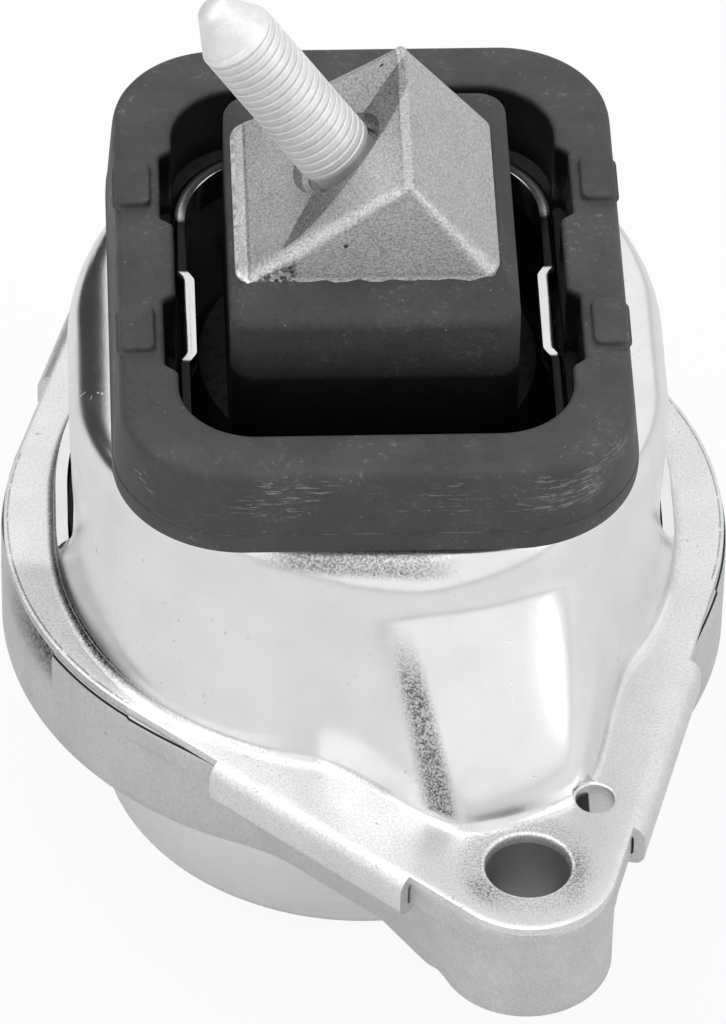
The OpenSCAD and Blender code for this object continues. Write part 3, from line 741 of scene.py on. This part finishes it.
def make_stud(finish):
    """Threaded stud: the radius falls by a rounded ridge of the height less the turn, times the pitch.

    The ridge fades in above the plain foot and fades out along the lead-in cone.
    """
    turn = np.arange(96) * 2 * np.pi / 96
    cone_start, nose = STUD_REACH - NOSE_LENGTH - CONE_LENGTH, STUD_REACH - NOSE_LENGTH
    along = np.concatenate([[-16, -1.2, -0.6, 0.2], np.arange(0.5, cone_start + 1.6, STUD_PITCH / 20)])
    along = np.concatenate([along, np.linspace(cone_start + 1.7, nose, 12)])
    core = np.interp(along, [-16, -0.8, 0.2, cone_start, nose], [5.4, 5.4, STUD_R, STUD_R - 0.02, 3.1])
    phase = along[:, None] / STUD_PITCH - turn[None] / (2 * np.pi)
    ridge = np.abs(2 * (phase - np.floor(phase)) - 1)
    groove = ease((ridge - 0.64) / 0.3)
    fade = ease((along - 0.6) / 2.2) * ease((cone_start + 1.5 - along) / 2.4)
    radius = core[:, None] - THREAD_DEPTH * groove * fade[:, None]
    z = np.repeat(along[:, None], 96, axis=1)
    rings = np.stack([radius * np.cos(turn), radius * np.sin(turn), z], axis=-1)
    tip = np.array([[3.06, 0.12], [2.85, 0.5], [2.6, 1.0], [2.1, 1.45], [1.2, 1.72], [0.4, 1.8]])
    rings = on_stud_axis(np.concatenate([rings, revolved(tip + [0, nose])]))
    return skin("threaded_stud", rings, finish, ["stud"], ends=True, crease=70)


# Cast bracket and cup


def bracket_radius(z, fan, inset):
    """Outer radius of the casting: round wall, ears' webs and bosses, joined by rounded maxima."""
    a = np.arccos(np.clip(np.abs(np.cos(fan - EAR_LINE)), 0, 1))
    slant = np.where(a < TANGENT, TANGENT - a, 0)
    run = FLANGE_R * np.tan(slant)
    web = (FLANGE_R - inset * np.interp(run, [0, 51, 60], [1, 1, 0.45])) / np.cos(slant)
    web = np.where(a < TANGENT, web, 0) * (run < SIDE_LENGTH)
    boss_r = EAR_END_R - 0.2
    reach = boss_r**2 - (EAR_REACH * np.sin(a)) ** 2
    boss = np.where(reach > 0, EAR_REACH * np.cos(a) + np.sqrt(np.clip(reach, 0, None)), 0)
    return union(union(np.full(len(fan), BRACKET_R), web, 2.5), boss, 1.6)


def bracket_ring(z, inset, back, fan):
    """Ring of the casting at a height, its webs inset and the whole edge set back.

    Under the flange on the left runs a long hollow that deepens to a crisp end.
    """
    turn = np.degrees(fan) % 360
    hollow = 2.4 * ease((z - 40.5) / 4.5) * ease((210.0 - turn) / 0.9) * ease((turn - 176) / 30)
    radius = bracket_radius(z, fan, inset) - back - hollow
    return np.stack([radius * np.cos(fan), radius * np.sin(fan), np.full(len(fan), float(z))], axis=-1)


def make_bracket(finish):
    """Casting: out along the underside, up the slanted sides, in over the top and down the stepped bore."""
    fan = np.arange(720) * 2 * np.pi / 720
    bore = lambda r, z: np.stack([r * np.cos(fan), r * np.sin(fan), np.full(len(fan), float(z))], axis=-1)
    rows = [bore(CUP_R + 0.2, BRACKET_Z + 0.4), bore(CUP_R + 0.6, BRACKET_Z)]
    edge = bracket_ring(BRACKET_Z, WEB_SLOPE, 0.6, fan)
    rows += [rows[1] + t * (edge - rows[1]) for t in (0.25, 0.5, 0.75, 1)]
    slope = lambda z: float(np.interp(z, [30.5, 43.5, 44.1, 48.2], [WEB_SLOPE, 1.6, 0.25, 0.25]))
    for z, back in ((30.58, 0.32), (30.8, 0.12), (31.1, 0)):
        rows.append(bracket_ring(z, slope(z), back, fan))
    for z in (33, 35, 37.5, 40, 42, 43.3, 43.6, 43.9, 44.2, 45.5, 47):
        rows.append(bracket_ring(z, slope(z), 0, fan))
    for z, back in ((47.6, 0.05), (47.95, 0.25), (BRACKET_TOP, 0.7)):
        rows.append(bracket_ring(z, 0.3, back, fan))
    inner = bore(STACK_R + 0.2, BRACKET_TOP)
    rows += [rows[-1] + t * (inner - rows[-1]) for t in (0.3, 0.6, 1)]
    rows += [bore(STACK_R + 0.2, 42), bore(STACK_R + 0.2, STACK_Z), bore(CUP_R + 0.2, STACK_Z)]
    bracket = skin("cast_bracket", rows, finish, ["base_bracket"], loop=True, crease=35)
    profile = [[0.001, 28], [EAR_HOLE_R + 0.6, 28], [EAR_HOLE_R + 0.6, 30.5]]
    profile += [[EAR_HOLE_R + 0.05, 31], [EAR_HOLE_R + 0.05, 50], [0.001, 50]]
    cutters = []
    for turn in (EAR_LINE, EAR_LINE + math.pi):
        rings = revolved(profile, 72) + [EAR_REACH * math.cos(turn), EAR_REACH * math.sin(turn), 0]
        cutters.append(skin("cutter", rings, None, None, ends=True))
    carve(bracket, cutters)
    return bracket


def make_cup(finish):
    """Deep-drawn cup: a revolved sheet with a dished bottom, a rounded corner and an out-turned rim."""
    corner, dish = 2.2, 1.6
    outside = [[2, dish], [12, dish], [21.6, dish], [22.4, 1.4], [23.2, 0.9], [24.2, 0.15], [25, 0], [31, 0]]
    outside += arc(CUP_R - corner, corner, corner, -90, 0, 10)
    outside += [[CUP_R, z] for z in (9, 16, 23, 29, 33, 36.2)]
    outside += [[CUP_R + 0.3, 36.8], [CUP_R + 0.9, STACK_Z], [STACK_R, STACK_Z], [STACK_R, STACK_Z + CUP_T]]
    inside = [[CUP_R + 0.5, STACK_Z + CUP_T], [CUP_R - 0.8, 37.8], [CUP_R - CUP_T, 36.4], [CUP_R - CUP_T, 12]]
    inside += arc(CUP_R - corner, corner, corner - CUP_T, 0, -90, 8)
    inside += [[25.4, CUP_T], [22.8, dish + CUP_T], [2, dish + CUP_T]]
    return skin("drawn_cup", revolved(outside + inside, 160), finish, ["cup"], loop=True)


# Finishes


def ear_distance(f):
    """Distance from the nearer ear's hole, in metres."""
    along = abs(f.x * math.cos(EAR_LINE) + f.y * math.sin(EAR_LINE)) - EAR_REACH * MM
    aside = f.y * math.cos(EAR_LINE) - f.x * math.sin(EAR_LINE)
    return (along * along + aside * aside) ** 0.5


def plated_finish():
    """Bright plated sheet: soft mottling, small marks, speckled dark bands and a grainy, duller flange.

    The dark bands are painted shade in the foot's fillet, painted reflections on the front shoulder and
    down the front of the wall, and wear round the ears' holes, whose rolled rims carry a painted highlight.
    On the left the fillet has the darkest painted shade, with a thin painted highlight line in it. The
    flange's round edge has a broken burr line, and the collar is painted near black as shade except on its
    two tabs.
    """
    f = Finish("plated_sheet", Metallic=1.0)
    mottle = f.noise(0.011, 3.0, 0.55).rise(0.3, 0.7)
    speckle = f.noise(0.0004, 3.0, 0.75).rise(0.4, 0.6)
    grain = f.noise(0.00025, 1.0)
    patch = f.noise(0.009, 2.0).rise(0.35, 0.6)
    marks = f.noise(0.0016, 4.0, 0.7).rise(0.64, 0.7) * f.noise(0.013, 1.0).rise(0.5, 0.6)
    lines = f.scratches(0.014, (0.3, 0.2, 0.9), (1.0, 0.22, 1.0), 0.66)
    front = 1.0 - f.y.rise(-0.046, -0.04)
    flat = 1.0 - f.z.rise(0.0500, 0.0504)
    left = 1.0 - f.x.rise(-0.043, -0.034)
    # Painted shade in the foot's fillet, heaviest on the left and patchy elsewhere.
    fillet = f.z.within(0.0503, 0.0512, 0.0003) * (0.5 * left + 0.3 * patch)
    # Painted reflection: a dark band on the front of the shoulder.
    shoulder = f.x.within(-0.012, 0.005, 0.008) * f.z.within(0.0858, 0.0882, 0.0014) * front
    # Painted reflection: a dark streak down the front of the wall, slanting with the ear line.
    along = f.x * math.cos(EAR_LINE) + f.y * math.sin(EAR_LINE)
    aside = f.y * math.cos(EAR_LINE) - f.x * math.sin(EAR_LINE) - (along - 0.0522) * 0.13
    painted_reflection_streak = aside.within(-0.0124, -0.0112, 0.0018) * front * f.z.rise(0.0511, 0.0522)
    painted_reflection_streak = painted_reflection_streak * (1.0 - f.z.rise(0.068, 0.078)) * along.rise(0.04, 0.05)
    hole = ear_distance(f)
    seat = flat * (1.0 - hole.rise(0.0088, 0.0122)) * (0.4 + 0.6 * f.noise(0.012, 1.0).rise(0.42, 0.6))
    # Wear round the ears' holes, added to the painted shade and painted reflections above.
    wear_and_painted_shade = (fillet + shoulder * 0.8 + painted_reflection_streak + seat * 0.7).smaller(1.0)
    # Painted highlight on the rolled rims of the ears' holes.
    rim = hole.within(0.0064, 0.0070, 0.0002)
    # Painted shade low on the left foot, with a thin painted highlight line in the fillet.
    shadow = left * f.z.within(0.0505, 0.0512, 0.0002) * 0.06
    shadow = shadow - left * f.z.within(0.0508, 0.0509, 0.0001) * 0.5
    shadow = shadow + left * f.z.within(0.0518, 0.0524, 0.0034) * (1.0 - f.y.rise(-0.012, -0.008)) * 0.42
    reach = (f.x * f.x + f.y * f.y) ** 0.5
    disc = 1.0 - (abs(along) / reach).rise(0.525, 0.535)
    burr = reach.within(0.0557, 0.0559, 0.0001) * f.z.within(0.0495, 0.0501, 0.0002)
    burr = burr * f.noise(0.0018, 3.0).rise(0.3, 0.46)
    cut = reach.within(0.0563, 0.0565, 0.0001) * (1.0 - f.z.rise(0.0496, 0.0498))
    # Painted shade: the collar inside the stop frame goes near black, except on its two tabs.
    high, level = abs(f.y), f.z.rise(0.0886, 0.0892) * (1.0 - reach.rise(0.043, 0.044))
    collar_painted_shade = level * high.rise(0.0098, 0.0104) * (1.0 - f.y.rise(0.0215, 0.0235))
    scars = lines + marks
    grey = 0.84 - 0.06 * mottle - flat * (0.04 + speckle * 0.12) - wear_and_painted_shade * (0.25 + 0.45 * speckle)
    grey = grey - scars * 0.22 - shadow - disc * (burr * 0.3 + cut * 0.12)
    colour = f.shade(grey * (1.0 - collar_painted_shade * 0.98) + rim * 0.15, 0.0, 1.0)
    rough = 0.15 + 0.06 * mottle + wear_and_painted_shade * 0.25 + flat * (0.14 + 0.1 * speckle) + scars * 0.15
    height = grain * 0.15 + speckle * (0.06 + flat * 0.18 + wear_and_painted_shade * 0.3) + mottle * 0.25 - scars * 0.5
    return f.wear(Base_Color=colour, Roughness=rough, Normal=f.bump(height, 0.00004))


def casting_grain(f, grain_size):
    """Grain, large patches and scattered pits of a bare casting."""
    grain = f.noise(grain_size, 3.0, 0.65)
    patch = f.noise(0.009, 3.0, 0.6)
    pits = (1.0 - f.cells(0.0042).rise(0.05, 0.13)) * f.noise(0.006, 1.0).rise(0.56, 0.66)
    return grain, patch, pits


def core_finish():
    """Dull cast aluminium with a fine grain, dark pits, and a smoother lens on the slanted face in painted
    shade.

    The lens lies by the formula of the side step's ramp. The narrow left side is lightened as painted light.
    """
    f = Finish("core_casting", Metallic=0.85)
    grain, patch, pits = casting_grain(f, 0.0004)
    # Painted shade: the lens on the side step's ramp is darker, and its grain is smoother.
    t, across = lens_frame(f.x / MM, f.y / MM)
    swell = (4.0 * t * (1.0 - t)).larger(0.0)
    lens = (across + swell * LENS_LEFT).rise(0.0, 0.4)
    lens = lens * (1.0 - (across - swell**LENS_POWER * LENS_RIGHT).rise(-0.4, 0.0))
    lens = lens * swell.rise(0.0, 0.02) * (1.0 - f.x.rise(0.0052, 0.006)) * f.z.rise(0.1165, 0.1175)
    # Painted light: the narrow left side is lighter, with a thin painted shade line at its edge.
    painted_light_strip = (1.0 - f.x.rise(-0.0192, -0.019)) * 0.14 - f.x.within(-0.0189, -0.0187, 0.0002) * 0.16
    flash = f.z.within(0.1148, 0.1157, 0.0003) * f.noise(0.0016, 2.0).rise(0.42, 0.55) * 0.4
    stain = f.x.within(-0.0172, -0.0125, 0.0012) * (1.0 - f.y.rise(-0.0188, -0.018))
    stain = stain * f.noise(0.001, 2.0).rise(0.4, 0.5)
    grey = 0.48 + 0.9 * (grain - 0.5) + 0.14 * (patch - 0.5) - 0.4 * pits - lens * (0.2 + 0.3 * (patch - 0.5))
    grey = grey + painted_light_strip + flash - stain * 0.38
    height = grain * (0.8 - 0.6 * lens) + patch * 0.5 - pits
    rough = 0.42 + 0.16 * grain
    return f.wear(Base_Color=f.shade(grey, 0.0, 1.0), Roughness=rough, Normal=f.bump(height, 0.00012))


def bracket_finish():
    """Bare cast aluminium with a dark seam under the flange, and painted shade in the bores and left side's
    hollow.

    A painted shadow lies on its top as a dark line, where the front peg hole shows it.
    """
    f = Finish("bracket_casting", Metallic=0.85)
    grain, patch, pits = casting_grain(f, 0.0005)
    # Painted shade in the hollow under the flange on the left.
    turn = f.node("ShaderNodeMath", {"operation": "ARCTAN2"}, [f.y, f.x])
    hollow = turn.rise(-3.1, -2.7) * (1.0 - turn.rise(-2.622, -2.614)) * f.z.rise(0.0405, 0.0448)
    ear = ear_distance(f)
    seam = f.z.within(0.04786, 0.04806, 0.00005) * ear.rise(0.02, 0.03)
    # Painted shade down the ears' bores.
    bore = 1.0 - ear.rise(0.0068, 0.0072)
    speckle = f.noise(0.0007, 2.0, 0.6).rise(0.35, 0.65)
    # Painted shadow: a dark line on the top, where the front peg hole shows it.
    peg_hole_painted_shadow = (1.0 - f.x.rise(0.0316, 0.0320)) * f.x.rise(0.028, 0.0282) * f.y.within(-0.067, -0.060, 0.0005)
    peg_hole_painted_shadow = peg_hole_painted_shadow * f.z.rise(0.0481, 0.04815)
    # The dark seam joint, with the painted shade of the hollow, bores and peg hole.
    joint_and_painted_shade = (hollow * (0.5 + 0.5 * speckle) + seam + bore * 0.5 + peg_hole_painted_shadow).smaller(0.95)
    grey = (0.57 + 0.3 * (grain - 0.5) + 0.16 * (patch - 0.5) - 0.3 * pits) * (1.0 - joint_and_painted_shade)
    height = grain * 0.7 + patch * 0.5 - pits
    rough = 0.44 + 0.14 * grain
    return f.wear(Base_Color=f.shade(grey, 0.0, 1.0), Roughness=rough, Normal=f.bump(height, 0.0001))


def stud_finish():
    """Matt zinc-flake coating: near white, slightly patchy."""
    f = Finish("stud_coating", Metallic=0.55)
    grain = f.noise(0.0005, 3.0, 0.6)
    patch = f.noise(0.005, 2.0, 0.6)
    tone = grain.rise(0.3, 0.7) * 0.4 + patch.rise(0.3, 0.7) * 0.6
    colour, bump = f.shade(tone, 0.74, 0.88), f.bump(grain + patch, 0.00005)
    return f.wear(Base_Color=colour, Roughness=0.46 + 0.14 * grain, Normal=bump)


def rubber_finish(name, deep, shine):
    """Moulded rubber: fine grain, pale dust in soft patches, specks, short level scuffs, a pale mould seam.

    It is painted black as shade inside the frame and below the height deep.
    """
    f = Finish(name, IOR=1.45, Specular_IOR_Level=shine)
    grain = f.noise(0.0006, 3.0, 0.6)
    dust = f.noise(0.012, 4.0, 0.62).rise(0.42, 0.72)
    fine = f.noise(0.0013, 4.0, 0.8).rise(0.53, 0.68)
    specks = (1.0 - f.cells(0.0021).rise(0.04, 0.09)) * f.noise(0.007, 1.0).rise(0.45, 0.55)
    wall = f.z.within(0.0965, 0.1025, 0.0012)
    level = f.noise(0.00045, 3.0, 0.7, (0.12, 0.2, 1.0)).rise(0.55, 0.62)
    level = level * f.noise(0.016, 3.0).rise(0.46, 0.58) * wall
    seam = f.z.within(0.09238, 0.09248, 0.00004) * f.noise(0.004, 3.0).rise(0.4, 0.6)
    # Painted shade: black inside the frame's cavity and below the height deep.
    inside = (1.0 - abs(f.x).rise(0.0325, 0.033)) * (1.0 - abs(f.y).rise(0.0405, 0.041))
    inside = inside * (1.0 - f.z.rise(0.1028, 0.104))
    outside_painted_shade = f.z.rise(deep - 0.006, deep + 0.008) * (1.0 - inside)
    tone = 0.34 + 0.4 * grain + dust * (0.15 + 1.1 * fine) + level * 1.5 + specks * 1.6 + seam * 1.5
    rough = 0.5 + 0.2 * grain - dust * 0.06
    colour = f.shade(tone * outside_painted_shade * 0.1 + 0.004, 0.0, 1.0)
    return f.wear(Base_Color=colour, Roughness=rough, Normal=f.bump(grain * 0.6 + fine, 0.00006))


def cup_finish():
    """Bright drawn sheet: faint rings of drawing marks round the wall and a soft mottle."""
    f = Finish("cup_sheet", Metallic=1.0)
    draw = f.noise(0.0012, 2.0, 0.5, stretch=(0.02, 0.02, 1.0))
    mottle = f.noise(0.014, 3.0, 0.6)
    grain = f.noise(0.0006, 2.0)
    grey = 0.8 + 0.08 * draw + 0.1 * mottle + 0.08 * grain
    colour, bump = f.shade(grey, 0.0, 1.0), f.bump(draw + grain * 0.5, 0.00003)
    return f.wear(Base_Color=colour, Roughness=0.3 + 0.14 * mottle, Normal=bump)


def plain_finish(name, dark, light, metallic, rough):
    """Quiet finish for the pieces inside: mottled tone, roughness and a fine bump."""
    f = Finish(name, Metallic=metallic)
    mottle = f.noise(0.006, 3.0, 0.6)
    grain = f.noise(0.0007, 2.0)
    colour = f.shade(mottle.rise(0.3, 0.7), dark, light)
    return f.wear(Base_Color=colour, Roughness=rough + 0.15 * grain, Normal=f.bump(grain + mottle, 0.00006))


def dress_inside():
    """Gives the CAD pieces that stay their finishes."""
    steel = plain_finish("plain_steel", 0.42, 0.56, 1.0, 0.35)
    plate = plain_finish("plate_casting", 0.42, 0.54, 0.85, 0.45)
    membrane = plain_finish("membrane_rubber", 0.016, 0.03, 0.0, 0.6)
    finishes = {"spring_ring": steel, "lower_orifice_plate": steel, "bellows_ring": steel}
    finishes |= {"upper_orifice_plate": plate, "decoupler": membrane, "bellows": membrane}
    for node, finish in finishes.items():
        for holder in bpy.data.objects:
            if holder.get("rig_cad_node") == node:
                for spot in holder.material_slots:
                    spot.material = finish


# Light and floor


def facing(place, aim):
    """Placing at a point, its Z axis away from the aim so that a lamp or a camera looks at it."""
    back = np.array(place, float) - aim
    back /= np.linalg.norm(back)
    right = np.cross((0, 0, 1), back)
    right /= np.linalg.norm(right)
    return Matrix.Translation(place) @ Matrix((right, np.cross(back, right), back)).transposed().to_4x4()


def light_up():
    """Large soft lamps, and a world that is white to the camera and to glossy rays and gentler as light."""
    def lamp(name, place, aim, size, power):
        light = bpy.data.lights.new(name, "AREA")
        light.shape = "RECTANGLE"
        light.size, light.size_y = size
        light.energy = power
        holder = bpy.data.objects.new(name, light)
        holder.matrix_world = facing(place, aim)
        bpy.context.collection.objects.link(holder)

    lamp("lamp_top", (-0.3, 0.1, 1.1), (0, 0, 0.08), (1.1, 1.1), 5.2)
    lamp("lamp_left", (-0.8, -0.65, 0.6), (0, 0, 0.06), (0.6, 0.8), 1.1)
    lamp("lamp_right", (0.9, -0.35, 0.6), (0, 0, 0.06), (0.6, 0.8), 2.8)
    world = bpy.data.worlds.new("studio")
    world.use_nodes = True
    bpy.context.scene.world = world
    tree = world.node_tree
    seen = tree.nodes.new("ShaderNodeLightPath")
    direct = tree.nodes.new("ShaderNodeMath")
    direct.operation = "MAXIMUM"
    tree.links.new(seen.outputs["Is Camera Ray"], direct.inputs[0])
    tree.links.new(seen.outputs["Is Glossy Ray"], direct.inputs[1])
    strength = tree.nodes.new("ShaderNodeMapRange")
    strength.inputs["To Min"].default_value = 0.55
    strength.inputs["To Max"].default_value = 1.0
    tree.links.new(direct.outputs[0], strength.inputs["Value"])
    sky = tree.nodes["Background"]
    sky.inputs["Color"].default_value = (1, 1, 1, 1)
    tree.links.new(strength.outputs[0], sky.inputs["Strength"])


def stage_sheet(name, size, grey):
    """Rectangle about the origin that isn't part of the object, and the node tree of its grey material."""
    x, y = size[0] / 2, size[1] / 2
    mesh = bpy.data.meshes.new(name)
    mesh.from_pydata([(-x, -y, 0), (x, -y, 0), (x, y, 0), (-x, y, 0)], [], [(0, 1, 2, 3)])
    sheet = bpy.data.objects.new(name, mesh)
    bpy.context.collection.objects.link(sheet)
    finish = bpy.data.materials.new(name)
    finish.use_nodes = True
    finish.node_tree.nodes["Principled BSDF"].inputs["Base Color"].default_value = (grey, grey, grey, 1)
    mesh.materials.append(finish)
    return sheet, finish.node_tree


def hang_card(name, place, size):
    """Dark card facing the object, outside the picture: it shows only in reflections."""
    card, _ = stage_sheet(name, size, 0.02)
    card.matrix_world = facing(place, (0, 0, 0.07))
    for ray in ("camera", "diffuse", "shadow", "transmission"):
        setattr(card, "visible_" + ray, False)


def lay_floor():
    """Wide pale floor: mostly white to the camera, with the object's shadow left on it."""
    _, tree = stage_sheet("floor", (12, 12), 0.86)
    tree.nodes["Principled BSDF"].inputs["Roughness"].default_value = 0.9
    white = tree.nodes.new("ShaderNodeEmission")
    white.inputs["Color"].default_value = (1, 1, 1, 1)
    seen = tree.nodes.new("ShaderNodeLightPath")
    share = tree.nodes.new("ShaderNodeMath")
    share.operation = "MULTIPLY"
    share.inputs[1].default_value = 0.9
    tree.links.new(seen.outputs["Is Camera Ray"], share.inputs[0])
    mix = tree.nodes.new("ShaderNodeMixShader")
    tree.links.new(share.outputs[0], mix.inputs[0])
    tree.links.new(tree.nodes["Principled BSDF"].outputs[0], mix.inputs[1])
    tree.links.new(white.outputs[0], mix.inputs[2])
    tree.links.new(mix.outputs[0], tree.nodes["Material Output"].inputs["Surface"])


aim_camera()
light_up()
hang_card("card_left", (-0.75, 0.3, 0.16), (1.1, 0.34))
hang_card("card_back", (-0.7, 0.8, 0.42), (0.9, 0.62))
lay_floor()
bpy.context.scene.view_settings.view_transform = "Standard"

make_housing(plated_finish())
frame_rubber = rubber_finish("buffer_rubber", 0.08, 0.35)
make_stop_frame(frame_rubber)
make_stop_nubs(frame_rubber)
spring_rubber = rubber_finish("spring_rubber", 0.104, 0.2)
make_spring_block(spring_rubber)
make_spring_cone(spring_rubber)
make_core(core_finish())
make_stud(stud_finish())
make_bracket(bracket_finish())
make_cup(cup_finish())
dress_inside()
